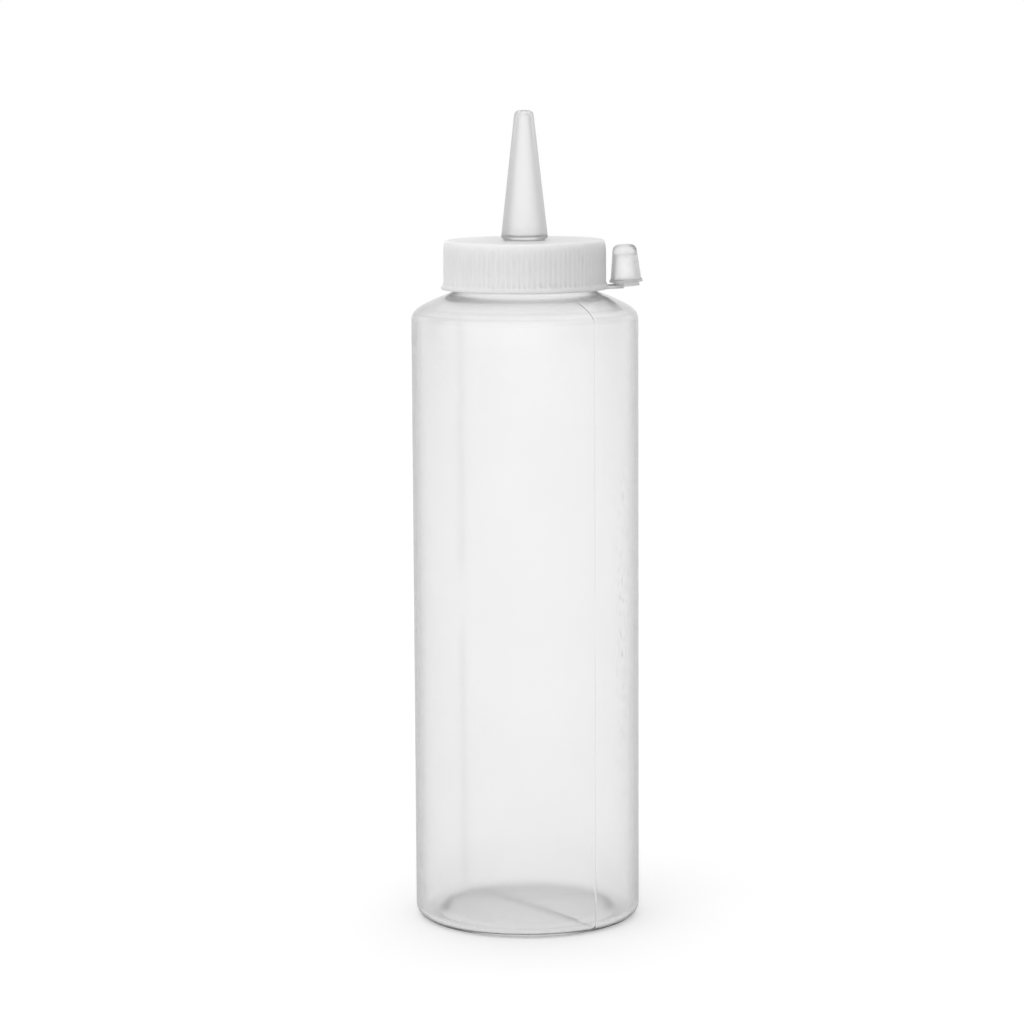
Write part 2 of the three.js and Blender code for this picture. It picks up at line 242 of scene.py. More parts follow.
class TipCapSizes(bpy.types.PropertyGroup):
    """Thimble that closes the nozzle's end."""

    height: length("Height", "Height of the thimble", 9.2 * MM)
    wall: length("Wall", "Thickness of its side", 0.8 * MM)
    end_wall: length("End wall", "Thickness of its closed end", 2.35 * MM)
    end_rounding: length("End rounding", "Rounding of its closed end", 1.5 * MM)
    edge: length("Edge", "Rounding of its small edges", 0.15 * MM)
    bore_corner: length("Bore corner", "Rounding of the bore's closed end", 0.4 * MM)
    cover: length("Cover", "Length of the nozzle that it covers", 6.8 * MM)
    clearance: length("Clearance", "Clearance over the nozzle", 0.03 * MM)
    lip_width: length("Lip width", "How far the lip at its mouth stands out", 0.22 * MM)
    lip_height: length("Lip height", "Height of the lip at its mouth", 0.7 * MM)
    lip_edge: length("Lip edge", "Rounding of the lip's upper edge", 0.2 * MM)
    pin: length("Pin", "Radius of the sealing pin", 0.55 * MM)
    pin_length: length("Pin length", "Length of the sealing pin", 1 * MM)
    seat_gap: length("Seat gap", "Gap between its mouth and the collar", 0.3 * MM)
    steps: count("Steps", "Steps round the thimble", 96)


class Finishes(bpy.types.PropertyGroup):
    """Colours, gloss and moulding marks of the plastics."""

    bottle: colour("Bottle", "Natural blown polyethylene", "#FEFEFE")
    bottle_thick: colour("Bottle, thicker", "Where the blown wall is a little thicker", "#FAFAFA")
    nozzle: colour("Nozzle", "Natural moulded polyethylene", "#FEFEFE")
    cap: colour("Cap", "White moulded polyethylene", "#FAFAF9")
    cap_worn: colour("Cap, rubbed", "Where the ribs are rubbed", "#FDFDFC")
    tip_cap: colour("Tip cap", "Natural moulded polyethylene", "#FEFEFE")
    scuff: colour("Scuffs", "Where handling has scratched the body", "#E4E4E4")
    floor: colour("Floor", "Pale studio floor", "#F0F0F0")
    bottle_roughness: share("Bottle roughness", "Soft satin of the blown wall", 0.15)
    nozzle_roughness: share("Nozzle roughness", "Satin of the moulded nozzle", 0.34)
    cap_roughness: share("Cap roughness", "Dull satin of the moulded cap", 0.5)
    tip_roughness: share("Tip cap roughness", "Satin of the moulded thimble", 0.31)
    bottle_lines: length("Bottle lines", "Depth of the flow lines", 0.012 * MM)
    nozzle_lines: length("Nozzle lines", "Depth of the flow lines", 0.006 * MM)
    cap_lines: length("Cap lines", "Depth of the flow lines", 0.004 * MM)
    tip_lines: length("Tip cap lines", "Depth of the flow lines", 0.004 * MM)
    bottle_grain: length("Bottle grain", "Depth of the mould grain", 0.0012 * MM)
    nozzle_grain: length("Nozzle grain", "Depth of the mould grain", 0.001 * MM)
    cap_grain: length("Cap grain", "Depth of the mould grain", 0.003 * MM)
    tip_grain: length("Tip cap grain", "Depth of the mould grain", 0.001 * MM)
    bottle_absorption: number("Bottle absorption", "How fast the blown plastic takes light", 30)
    nozzle_absorption: number("Nozzle absorption", "How fast the nozzle's plastic takes light", 24)
    tip_absorption: number("Tip cap absorption", "How fast the thimble's plastic takes light", 26)
    cap_scatter: length("Cap scatter", "How deep light goes into the white plastic", 3 * MM)
    refraction: number("Refractive index", "That of low-density polyethylene", 1.51)
    line_spacing: length("Line spacing", "Distance between the flow lines", 3.03 * MM)
    grain_width: length("Grain width", "Width of the mould grain as drawn", 0.588 * MM)
    patch_length: length("Patch length", "Length of the slow changes of the wall", 22.2 * MM)
    nick_width: length("Nick width", "Distance between the nicks of a scuff", 0.769 * MM)


class StageSettings(bpy.types.PropertyGroup):
    """Camera, floor and light."""

    camera_side: length("Camera side", "Camera's place along X", -3.43 * MM)
    camera_distance: length("Camera distance", "Camera's distance in front of the axis", 846.2 * MM)
    camera_height: length("Camera height", "Camera's height", 216.4 * MM)
    camera_tilt: angle("Camera tilt", "How far the camera looks down", 7.72)
    camera_roll: angle("Camera roll", "How far the picture leans", 0.31)
    focal_pixels: number("Focal length", "In pixels of the picture", 3438.1)
    picture_pixels: count("Picture", "Pixels along the picture's side", 1024)
    sensor: length("Sensor", "Width of the camera's sensor", 36 * MM)
    nearest: length("Nearest", "Nearest distance that the camera sees", 10 * MM)
    farthest: length("Farthest", "Farthest distance that the camera sees", 20)
    floor_size: length("Floor", "Side of the floor", 4)
    floor_gap: length("Floor gap", "From the floor to the stand ring", 0.02 * MM)
    backdrop_light: share("Backdrop", "Brightness of what is behind the bottle", 1.0)
    backdrop_edge: share("Backdrop edge", "Where the backdrop ends, as a share of straight back", 0.25)
    backdrop_middle: share("Backdrop middle", "Where the backdrop is at its full brightness", 0.65)
    window_light: share("Window", "Brightness of the window in front", 1.42)
    room_light: share("Room", "Brightness of the room away from the window", 0.0)
    room_edge: share("Room edge", "Where the window's light ends, as a share of straight at it", 0.05)
    window_middle: share("Window middle", "Where the window is at its full brightness", 1.0)
    window_direction: FloatVectorProperty(name="Window direction", description="Towards the window",
                                          default=(-0.42, -0.9, 0.1), subtype="DIRECTION", size=3)
    overhead_light: share("Overhead", "Brightness overhead", 1.1)
    overhead_edge: share("Overhead edge", "Where it starts, as a share of straight up", 0.3)
    overhead_middle: share("Overhead middle", "Where it is at its full brightness", 0.95)
    floor_shadow: share("Floor shadow", "How strongly the floor shows shadow", 0.9)
    shadow_through: share("Shadow through", "How strongly it shows shadow through the plastic", 0.35)
    lit_floor: share("Lit floor", "Brightness of the paper itself, away from the bottle", 0.73)


def arc(centre_radius, centre_height, radius, start, end, step=ARC_STEP):
    """Points of an arc in an outline, from one angle to another, ends included."""
    steps = max(1, math.ceil(abs(end - start) / step))
    angles = [start + (end - start) * at / steps for at in range(steps + 1)]
    return [(centre_radius + radius * math.cos(a), centre_height + radius * math.sin(a)) for a in angles]


def rounded_corner(before, corner, after, rounding):
    """Arc that touches both sides of a corner."""
    corner = Vector(corner)
    back = (Vector(before) - corner).normalized()
    on = (Vector(after) - corner).normalized()
    half = back.angle(on) / 2
    centre = corner + (back + on).normalized() * rounding / math.sin(half)
    reach = rounding / math.tan(half)
    first, last = corner + back * reach - centre, corner + on * reach - centre
    start = math.atan2(first.y, first.x)
    turn = math.atan2(last.y, last.x) - start
    turn = math.atan2(math.sin(turn), math.cos(turn))
    return arc(centre.x, centre.y, rounding, start, start + turn, ROUNDING_STEP)


def outline(*corners):
    """Points of (radius, height) from corners that may have a rounding as a third number."""
    points = []
    for at, corner in enumerate(corners):
        if len(corner) == 3:
            after = corners[(at + 1) % len(corners)]
            points += rounded_corner(corners[at - 1][:2], corner[:2], after[:2], corner[2])
        else:
            points.append(corner)
    return points


def divided(start, end, steps):
    """Points that part a straight stretch of an outline, its start left out."""
    return [tuple(a + (b - a) * at / steps for a, b in zip(start, end)) for at in range(1, steps + 1)]


def deselect_all():
    """Leaves edit mode and deselects every object."""
    if bpy.context.mode != "OBJECT":
        bpy.ops.object.mode_set(mode="OBJECT")
    bpy.ops.object.select_all(action="DESELECT")


def draw_outline(name, points, turn=0.0):
    """Draws an outline in the upright plane at an angle from the front, and stays in edit mode."""
    deselect_all()
    bpy.ops.mesh.primitive_plane_add(size=MM)
    piece = bpy.context.object
    piece.name = piece.data.name = name
    bpy.ops.object.mode_set(mode="EDIT")
    bpy.ops.mesh.merge(type="CENTER")
    across = Vector((math.sin(turn), -math.cos(turn), 0))
    places = [across * radius + Vector((0, 0, height)) for radius, height in points]
    bpy.ops.transform.translate(value=places[0])
    for here, there in zip(places, places[1:]):
        bpy.ops.mesh.extrude_region_move(TRANSFORM_OT_translate={"value": there - here})
    bpy.ops.mesh.select_all(action="SELECT")
    return piece


def spin(steps, turn):
    """Spins what is selected about the bottle's axis, on from where it is."""
    bpy.ops.mesh.spin(steps=steps, angle=turn, center=(0, 0, 0), axis=(0, 0, 1))


def close_up():
    """Merges the seam and the poles and turns the faces outwards."""
    bpy.ops.mesh.select_all(action="SELECT")
    bpy.ops.mesh.remove_doubles(threshold=MERGE_DISTANCE)
    bpy.ops.mesh.select_all(action="SELECT")
    bpy.ops.mesh.normals_make_consistent(inside=False)


def turned(name, points, steps):
    """Closed body of revolution about Z, from its outline."""
    piece = draw_outline(name, points)
    spin(steps, 2 * math.pi)
    close_up()
    bpy.ops.object.mode_set(mode="OBJECT")
    return piece


def select_vertices(piece, test):
    """Selects the vertices whose place passes the test, in edit mode, and says whether any do."""
    bpy.ops.object.mode_set(mode="EDIT")
    bpy.ops.mesh.select_mode(type="VERT")
    bpy.ops.mesh.select_all(action="DESELECT")
    bpy.ops.object.mode_set(mode="OBJECT")
    flags = [test(vertex.co) for vertex in piece.data.vertices]
    piece.data.vertices.foreach_set("select", flags)
    bpy.ops.object.mode_set(mode="EDIT")
    return any(flags)


def scale_round_axis(factor):
    """Moves what is selected towards the bottle's axis or away from it."""
    bpy.ops.transform.resize(value=(factor, factor, 1), center_override=(0, 0, 0))


def join_on(piece, addition):
    """Joins a second closed body on to a piece as one skin."""
    modifier = piece.modifiers.new("Join", "BOOLEAN")
    modifier.operation = "UNION"
    modifier.solver = "MANIFOLD"
    modifier.object = addition
    deselect_all()
    bpy.context.view_layer.objects.active = piece
    piece.select_set(True)
    bpy.ops.object.modifier_apply(modifier=modifier.name)
    bpy.data.objects.remove(addition)


def smooth(piece, degrees=35):
    """Smooths the shading, but keeps edges that turn by more than the angle."""
    deselect_all()
    bpy.context.view_layer.objects.active = piece
    piece.select_set(True)
    bpy.ops.object.shade_smooth_by_angle(angle=math.radians(degrees))


def finished(piece, material, body, node):
    """Gives a piece its material, hangs it on its body's empty and hides the part that it stands for."""
    piece.data.materials.clear()
    piece.data.materials.append(material)
    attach(piece, body)
    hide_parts(node)


def thread_ridge(name, wall_radius, crest_radius, start_angle, start_height, turns):
    """Ridge wound about Z on a wall, outwards or inwards, with ends that fade into the wall."""
    sizes = bpy.context.scene.thread_sizes
    side = math.copysign(1, crest_radius - wall_radius)
    root = wall_radius - side * sizes.sink
    half_root, half_crest = sizes.root_width / 2, sizes.crest_width / 2
    section = [(root, start_height - half_root), (crest_radius, start_height - half_crest),
               (crest_radius, start_height + half_crest), (root, start_height + half_root)]
    front = start_angle + math.pi / 2
    ridge = draw_outline(name, section + section[:1], front)
    bpy.ops.mesh.remove_doubles(threshold=MERGE_DISTANCE)
    bpy.ops.object.mode_set(mode="OBJECT")
    winding = ridge.modifiers.new("Winding", "SCREW")
    winding.angle = turns * 2 * math.pi
    winding.screw_offset = turns * sizes.pitch
    winding.steps = winding.render_steps = round(turns * sizes.steps)
    winding.use_merge_vertices = False
    bpy.ops.object.modifier_apply(modifier=winding.name)
    bpy.ops.object.mode_set(mode="EDIT")
    bpy.ops.mesh.select_all(action="SELECT")
    bpy.ops.mesh.fill_holes(sides=0)
    # Each end is drawn out by a short stretch whose crest sinks into the wall
    for direction, turns_done in ((-1, 0), (1, turns)):
        end_angle = start_angle + turns_done * 2 * math.pi
        end_height = start_height + turns_done * sizes.pitch
        out = Vector((math.cos(end_angle), math.sin(end_angle), 0))
        tangent = Vector((-out.y, out.x, 0))
        fade_angle = end_angle + direction * sizes.run_out
        fade_out = Vector((math.cos(fade_angle), math.sin(fade_angle), 0))
        fade_rise = Vector((0, 0, direction * sizes.run_out / (2 * math.pi) * sizes.pitch))
        middle = out * (root + crest_radius) / 2 + Vector((0, 0, end_height))
        select_vertices(ridge, lambda co: (co - middle).length < sizes.root_width
                        and abs((co - middle).dot(tangent)) < sizes.sink / 2)
        bpy.ops.mesh.extrude_region_move(
            TRANSFORM_OT_translate={"value": (fade_out - out) * wall_radius + fade_rise})
        bpy.ops.object.mode_set(mode="OBJECT")
        crest = [v.select and abs(v.co.dot(out) - crest_radius) < sizes.height / 2
                 for v in ridge.data.vertices]
        ridge.data.vertices.foreach_set("select", crest)
        bpy.ops.object.mode_set(mode="EDIT")
        bpy.ops.transform.translate(value=fade_out * -side * (sizes.height + sizes.sink / 2))
    close_up()
    bpy.ops.object.mode_set(mode="OBJECT")
    return ridge


def new_material(name):
    """Material with no nodes yet, and its node tree."""
    material = bpy.data.materials.new(name)
    material.use_nodes = True
    material.node_tree.nodes.clear()
    return material, material.node_tree


def add_node(tree, kind, settings=None, inputs=None):
    """Adds a node with its settings; an input is given as a value or as the socket that feeds it."""
    made = tree.nodes.new(kind)
    for name, value in (settings or {}).items():
        setattr(made, name, value)
    for name, value in (inputs or {}).items():
        if isinstance(value, bpy.types.NodeSocket):
            tree.links.new(value, made.inputs[name])
        else:
            made.inputs[name].default_value = value
    return made


# The scuffed strip of the body: along each axis, where it starts to show and where it shows in full
SCUFF_EDGES = (
    ("X", 20.5 * MM, 23.5 * MM),
    ("X", 26.8 * MM, 24.5 * MM),
    ("Y", 0, -10 * MM),
    ("Z", 15 * MM, 60 * MM),
    ("Z", 125 * MM, 100 * MM),
)
# Levels of the noise between which a nick fades in
NICK_FADE = (0.56, 0.68)
# How much longer a nick and a flow line are than they are wide
NICK_STRETCH = 2.5
LINE_STRETCH = 100 / 3


def scuffs(tree, place, look):
    """Share of a handling scuff: short upright nicks on the body's right side, seen from the front."""
    drawn = add_node(tree, "ShaderNodeMapping", inputs={"Vector": place, "Scale": (1, 1, 1 / NICK_STRETCH)})
    # The nicks are a few tenths of a millimetre wide and about a millimetre long.
    nicks = add_node(tree, "ShaderNodeTexNoise",
                     inputs={"Vector": drawn.outputs["Vector"], "Scale": 1 / look.nick_width, "Detail": 2})
    sides = add_node(tree, "ShaderNodeSeparateXYZ", inputs={"Vector": place})
    fades = [(nicks.outputs["Fac"], *NICK_FADE)]
    fades += [(sides.outputs[axis], start, full) for axis, start, full in SCUFF_EDGES]
    scuffed = 1
    for socket, start, full in fades:
        rising = start < full
        fade = add_node(tree, "ShaderNodeMapRange", {"interpolation_type": "SMOOTHSTEP"},
                        {"Value": socket, "From Min": min(start, full), "From Max": max(start, full),
                         "To Min": 0 if rising else 1, "To Max": 1 if rising else 0})
        both = add_node(tree, "ShaderNodeMath", {"operation": "MULTIPLY"},
                        {0: fade.outputs["Result"], 1: scuffed})
        scuffed = both.outputs[0]
    return scuffed


def polyethylene(name, look, pale, deep, roughness, line_depth, grain_depth, absorption=0, scatter=0,
                 scuff=None):
    """Moulded polyethylene: a waxy satin plastic, either clear and darker where it is thick, or milky.

    A clear one is given its absorption per metre, and a milky one the depth to which light scatters."""
    material, tree = new_material(name)
    place = add_node(tree, "ShaderNodeTexCoord").outputs["Object"]
    # Flow lines run up the moulding, about 3 mm apart, and are very faint.
    drawn = add_node(tree, "ShaderNodeMapping", inputs={"Vector": place, "Scale": (1, 1, 1 / LINE_STRETCH)})
    lines = add_node(tree, "ShaderNodeTexNoise",
                     inputs={"Vector": drawn.outputs["Vector"], "Scale": 1 / look.line_spacing, "Detail": 2,
                             "Roughness": 0.5})
    # Mould grain: the real one is about 0.05 mm, drawn at 0.6 mm so that it shows.
    grain = add_node(tree, "ShaderNodeTexNoise",
                     inputs={"Vector": place, "Scale": 1 / look.grain_width, "Detail": 2, "Roughness": 0.6})
    # The wall's tone changes slowly, over tens of millimetres.
    patches = add_node(tree, "ShaderNodeTexNoise",
                       inputs={"Vector": place, "Scale": 1 / look.patch_length, "Detail": 2,
                               "Roughness": 0.45})
    tint = add_node(tree, "ShaderNodeMix", {"data_type": "RGBA"},
                    {"Factor": patches.outputs["Fac"], "A": pale, "B": deep})
    if scuff:
        tint = add_node(tree, "ShaderNodeMix", {"data_type": "RGBA"},
                        {"Factor": scuffs(tree, place, look), "A": tint.outputs["Result"], "B": scuff})
    line_bump = add_node(tree, "ShaderNodeBump",
                         inputs={"Height": lines.outputs["Fac"], "Distance": line_depth, "Strength": 1})
    grain_bump = add_node(tree, "ShaderNodeBump",
                          inputs={"Height": grain.outputs["Fac"], "Distance": grain_depth, "Strength": 1,
                                  "Normal": line_bump.outputs["Normal"]})
    shader = add_node(tree, "ShaderNodeBsdfPrincipled",
                      inputs={"Base Color": tint.outputs["Result"], "Roughness": roughness,
                              "IOR": look.refraction, "Transmission Weight": 0 if scatter else 1,
                              "Normal": grain_bump.outputs["Normal"]})
    if scatter:
        shader.inputs["Subsurface Weight"].default_value = 1
        shader.inputs["Subsurface Radius"].default_value = (1, 1, 1)
        shader.inputs["Subsurface Scale"].default_value = scatter
    result = add_node(tree, "ShaderNodeOutputMaterial", inputs={"Surface": shader.outputs["BSDF"]})
    if absorption:
        inside = add_node(tree, "ShaderNodeVolumeAbsorption",
                          inputs={"Color": linear("#000000"), "Density": absorption})
        tree.links.new(inside.outputs["Volume"], result.inputs["Volume"])
    return material


class BottleBody(bpy.types.Operator):
    """Blown body with its shoulder, neck, thread and mould marks"""

    bl_idname = "squeeze_bottle.body"
    bl_label = "Bottle"

    def execute(self, context):
        sizes, thread = context.scene.bottle_sizes, context.scene.thread_sizes
        inner_arch = sizes.arch - sizes.wall
        corner_radius = sizes.radius - sizes.corner
        roll_radius = corner_radius - (sizes.roll - sizes.corner) * math.cos(sizes.corner_turn)
        roll_height = sizes.body_height - (sizes.roll - sizes.corner) * math.sin(sizes.corner_turn)
        centre_radius = roll_radius - (sizes.arch - sizes.roll) * math.cos(sizes.roll_turn)
        centre_height = roll_height - (sizes.arch - sizes.roll) * math.sin(sizes.roll_turn)

        def arch_angle(radius, arch):
            """Angle at which an arch about the shoulder's centre has a radius from the axis."""
            return math.acos((radius - centre_radius) / arch)

        def arch_height(radius, arch):
            """Height of such an arch at a radius from the axis."""
            return centre_height + math.sqrt(arch ** 2 - (radius - centre_radius) ** 2)

        stand_inside = corner_radius - sizes.stand_ring
        push_up_radius = stand_inside - sizes.push_up_run
        bore = sizes.neck - sizes.neck_wall
        inside = sizes.radius - sizes.wall
        base_inside = sizes.radius - sizes.base_wall
        fine = sizes.arch_step
        arch_start = sizes.roll_turn + fine
        step_angles = [arch_angle(radius, sizes.arch)
                       for radius in (sizes.step_radius, sizes.neck + sizes.step_end)]
        body_low = (sizes.radius, sizes.heel)
        body_high = (sizes.radius, sizes.body_height - sizes.crease_width / 2)
        floor_top = sizes.push_up + sizes.push_up_floor
        inner_steps = sizes.wall_steps // 2
        points = outline(
            (0, sizes.push_up),
            (push_up_radius, sizes.push_up, sizes.push_up_edge),
            (stand_inside, 0, sizes.push_up_edge),
            (sizes.radius, 0, sizes.heel),
            *divided(body_low, body_high, sizes.wall_steps),
            (sizes.radius - sizes.crease_depth, sizes.body_height),
            *arc(corner_radius, sizes.body_height, sizes.corner, sizes.corner_start, sizes.corner_turn),
            *arc(roll_radius, roll_height, sizes.roll,
                 sizes.corner_turn + 2 * fine, sizes.roll_turn, 2 * fine),
            *arc(centre_radius, centre_height, sizes.arch, arch_start,
                 arch_angle(sizes.step_radius + sizes.step_slope, sizes.arch), fine),
            *[(centre_radius + (sizes.arch + sizes.step_height) * math.cos(a),
               centre_height + (sizes.arch + sizes.step_height) * math.sin(a)) for a in step_angles],
            (sizes.neck, arch_height(sizes.neck, sizes.arch) + sizes.step_height, sizes.neck_foot),
            (sizes.neck, sizes.rim_height, sizes.rim),
            (bore, sizes.rim_height, sizes.rim),
            (bore, arch_height(bore, inner_arch), sizes.neck_throat),
            *arc(centre_radius, centre_height, inner_arch,
                 arch_angle(bore + sizes.neck_throat, inner_arch), arch_start, fine),
            *arc(roll_radius, roll_height, sizes.roll - sizes.wall, sizes.roll_turn,
                 sizes.corner_turn + 2 * fine, 2 * fine),
            *arc(corner_radius, sizes.body_height, sizes.corner - sizes.wall, sizes.corner_turn, 0),
            *divided((inside, sizes.body_height), (inside, sizes.base_wall_from), inner_steps)[:-1],
            *divided((inside, sizes.base_wall_from), (base_inside, sizes.base_wall_to), inner_steps)[:-1],
            (base_inside, sizes.base_wall, sizes.heel - sizes.base_wall),
            (stand_inside + sizes.base_wall, sizes.base_wall, sizes.push_up_edge),
            (push_up_radius + sizes.base_wall / 2, floor_top, sizes.push_up_edge),
            (0, floor_top),
        )
        ridge_half = sizes.parting_width / 2 / sizes.radius
        band_half = ridge_half * sizes.parting_band
        # The spin goes round clockwise, seen from above
        bottle = draw_outline("blown_body", points, sizes.parting_angle + band_half)
        for _ in range(2):
            spin(sizes.parting_steps, 2 * band_half)
            spin(sizes.main_steps, math.pi - 2 * band_half)
        close_up()
        rim_at = max(range(len(points)), key=lambda at: points[at][1])
        outer_at = {(round(r / MM, 2), round(z / MM, 2)) for r, z in points[:rim_at]}

        def ridge_share(co):
            """How high the parting ridge stands at a place: 1 along its middle, 0 away from it."""
            radius = math.hypot(co.x, co.y)
            if (round(radius / MM, 2), round(co.z / MM, 2)) not in outer_at or radius < stand_inside:
                return 0
            off = math.atan2(co.x, -co.y) - sizes.parting_angle
            off = math.asin(max(-1, min(1, math.sin(off))))
            return max(0, 1 - abs(off) / ridge_half)

        # The ridge rises in three steps from its flanks to its crest
        for low_share, high_share in ((0.05, 0.4), (0.4, 0.8), (0.8, 1)):
            if select_vertices(bottle, lambda co: low_share < ridge_share(co) <= high_share):
                rise = sizes.parting_height * (low_share + high_share) / 2
                scale_round_axis(1 + rise / sizes.radius)
        bpy.ops.object.mode_set(mode="OBJECT")
        inner_floor = [(push_up_radius + sizes.base_wall / 2, floor_top),
                       (stand_inside + sizes.base_wall, sizes.base_wall),
                       (push_up_radius + sizes.pinch_reach, sizes.base_wall)]
        join_on(bottle, self.pinch_off(sizes, inner_floor))
        neck_thread = thread_ridge("neck_thread", sizes.neck, sizes.neck + thread.height, 0,
                                   sizes.rim_height - thread.drop, thread.neck_turns)
        join_on(bottle, neck_thread)
        smooth(bottle)
        look = context.scene.finishes
        # Blown low-density polyethylene: clear and waxy, greyer where the look goes along the wall
        plastic = polyethylene("natural_ldpe_blown", look, look.bottle, look.bottle_thick,
                               look.bottle_roughness, look.bottle_lines, look.bottle_grain,
                               absorption=look.bottle_absorption, scuff=look.scuff)
        finished(bottle, plastic, "bottle", "bottle")
        return {"FINISHED"}

    @staticmethod
    def pinch_off(sizes, inner_floor):
        """The welded seam: a low bar that follows the base's inner floor, in the mould's parting plane."""
        half = [(radius, height + sizes.pinch_bead) for radius, height in inner_floor]
        half.append((half[-1][0], sizes.push_up - sizes.pinch_height))
        points = half + [(-radius, height) for radius, height in reversed(half)]
        seam = draw_outline("pinch_off_seam", points + points[:1], sizes.parting_angle)
        bpy.ops.mesh.remove_doubles(threshold=MERGE_DISTANCE)
        bpy.ops.mesh.edge_face_add()
        across = Vector((math.cos(sizes.parting_angle), math.sin(sizes.parting_angle), 0))
        across *= sizes.pinch_width
        bpy.ops.transform.translate(value=-across / 2)
        bpy.ops.mesh.extrude_region_move(TRANSFORM_OT_translate={"value": across})
        close_up()
        bpy.ops.object.mode_set(mode="OBJECT")
        return seam


class ScrewCap(bpy.types.Operator):
    """Ribbed screw cap with its inner thread, parking tab and stud"""

    bl_idname = "squeeze_bottle.screw_cap"
    bl_label = "Screw cap"

    def execute(self, context):
        sizes, thread = context.scene.cap_sizes, context.scene.thread_sizes
        bottle = context.scene.bottle_sizes
        bottom = sizes.top - sizes.height
        bore = bottle.neck + thread.height + thread.gap
        valley = bore + sizes.wall
        crest = valley + sizes.rib_depth
        rim = crest + sizes.flare
        lid_bottom = sizes.top - sizes.lid
        flare_top = bottom + sizes.rim_band + sizes.flare_height
        foot = bottom + sizes.rib_foot
        slope = sizes.flare / sizes.flare_height
        foot_radius = crest + (flare_top - foot) * slope
        section = outline(
            (sizes.hole, lid_bottom),
            (bore, lid_bottom, sizes.inner_corner),
            (bore, bottom, sizes.rim_edge),
            (rim, bottom, sizes.rim_edge),
            (rim, bottom + sizes.rim_band, sizes.rim_top_edge),
            (foot_radius + sizes.rib_ledge * slope, foot - sizes.rib_ledge),
            (foot_radius, foot),
            (crest, flare_top),
            *divided((crest, flare_top), (crest, sizes.top - sizes.edge_draft_height), sizes.skirt_steps),
            (crest - sizes.edge_draft, sizes.top, sizes.edge),
            (sizes.hole, sizes.top),
            (sizes.hole, lid_bottom),
        )
        cap = turned("ribbed_cap", section, sizes.ribs * sizes.rib_columns)
        rib_turn = 2 * math.pi / sizes.ribs

        def column(co):
            """Which column of its rib a vertex is in, counted from the valley's middle."""
            at = (math.atan2(co.y, co.x) / rib_turn) % 1 * sizes.rib_columns
            return round(min(at, sizes.rib_columns - at))

        near = 5 * MERGE_DISTANCE
        rings = sorted({round(z / MM, 3) for r, z in section
                        if r > valley + near and foot - near < z < sizes.top})
        # Share of the valley's depth in its middle column and the next two
        valley_shares = (1.0, 0.72, 0.12)
        for ring in rings:
            height = ring * MM
            ring_radius = next(r for r, z in section if r > valley and abs(z - height) < MERGE_DISTANCE)
            for place, valley_share in enumerate(valley_shares):
                depth = (ring_radius - valley) * valley_share
                if select_vertices(cap, lambda co: abs(co.z - height) < near
                                   and math.hypot(co.x, co.y) > valley and column(co) == place):
                    scale_round_axis(1 - depth / ring_radius)
        bpy.ops.object.mode_set(mode="OBJECT")
        start_height = (bottle.rim_height - thread.drop - thread.pitch / 2
                        + thread.cap_start / (2 * math.pi) * thread.pitch)
        join_on(cap, thread_ridge("cap_thread", bore, bore - thread.height, thread.cap_start,
                                  start_height, thread.cap_turns))
        join_on(cap, self.tab(sizes, rim, bottom, (bore + crest) / 2))
        join_on(cap, self.stud(sizes, context, rim, bottom))
        smooth(cap, 40)
        look = context.scene.finishes
        # White moulded polyethylene: opaque but milky, so that light softens the ribs' valleys
        plastic = polyethylene("white_polyethylene_moulded", look, look.cap, look.cap_worn,
                               look.cap_roughness, look.cap_lines, look.cap_grain, scatter=look.cap_scatter)
        finished(cap, plastic, "screw_cap", "screw_cap")
        return {"FINISHED"}

    @staticmethod
    def on_tab(piece, sizes, rim, bottom):
        """Puts a piece drawn on the tab, x outwards from the rim and z up, where the tab is."""
        piece.data.transform(Matrix.Translation((rim, 0, bottom)) @ Matrix.Rotation(-sizes.tab_rise, 4, "Y"))
        return piece

    def tab(self, sizes, rim, bottom, root_radius):
        """Tongue with a round end: a flat bar whose end is spun round."""
        root = root_radius - rim
        straight = sizes.tab_reach - sizes.tab_width / 2
        deselect_all()
        bpy.ops.mesh.primitive_cube_add(size=1, location=((root + straight) / 2, 0, sizes.tab_thickness / 2),
                                        scale=(straight - root, sizes.tab_width, sizes.tab_thickness))
        tab = bpy.context.object
        tab.name = tab.data.name = "parking_tab"
        bpy.ops.object.transform_apply()
        near_end = straight - MERGE_DISTANCE
        select_vertices(tab, lambda co: co.x > near_end)
        bpy.ops.mesh.delete(type="ONLY_FACE")
        select_vertices(tab, lambda co: co.x > near_end and co.y < 0)
        bpy.ops.mesh.spin(steps=sizes.tab_steps, angle=math.pi, center=(straight, 0, 0), axis=(0, 0, 1))
        bpy.ops.mesh.select_all(action="SELECT")
        bpy.ops.mesh.remove_doubles(threshold=MERGE_DISTANCE)
        bpy.ops.mesh.fill_holes(sides=0)
        bpy.ops.mesh.normals_make_consistent(inside=False)
        bpy.ops.object.mode_set(mode="OBJECT")
        rounding = tab.modifiers.new("Rounded edges", "BEVEL")
        rounding.width = sizes.tab_edge
        rounding.segments = 2
        rounding.limit_method = "ANGLE"
        rounding.angle_limit = math.radians(50)
        bpy.ops.object.modifier_apply(modifier=rounding.name)
        return self.on_tab(tab, sizes, rim, bottom)

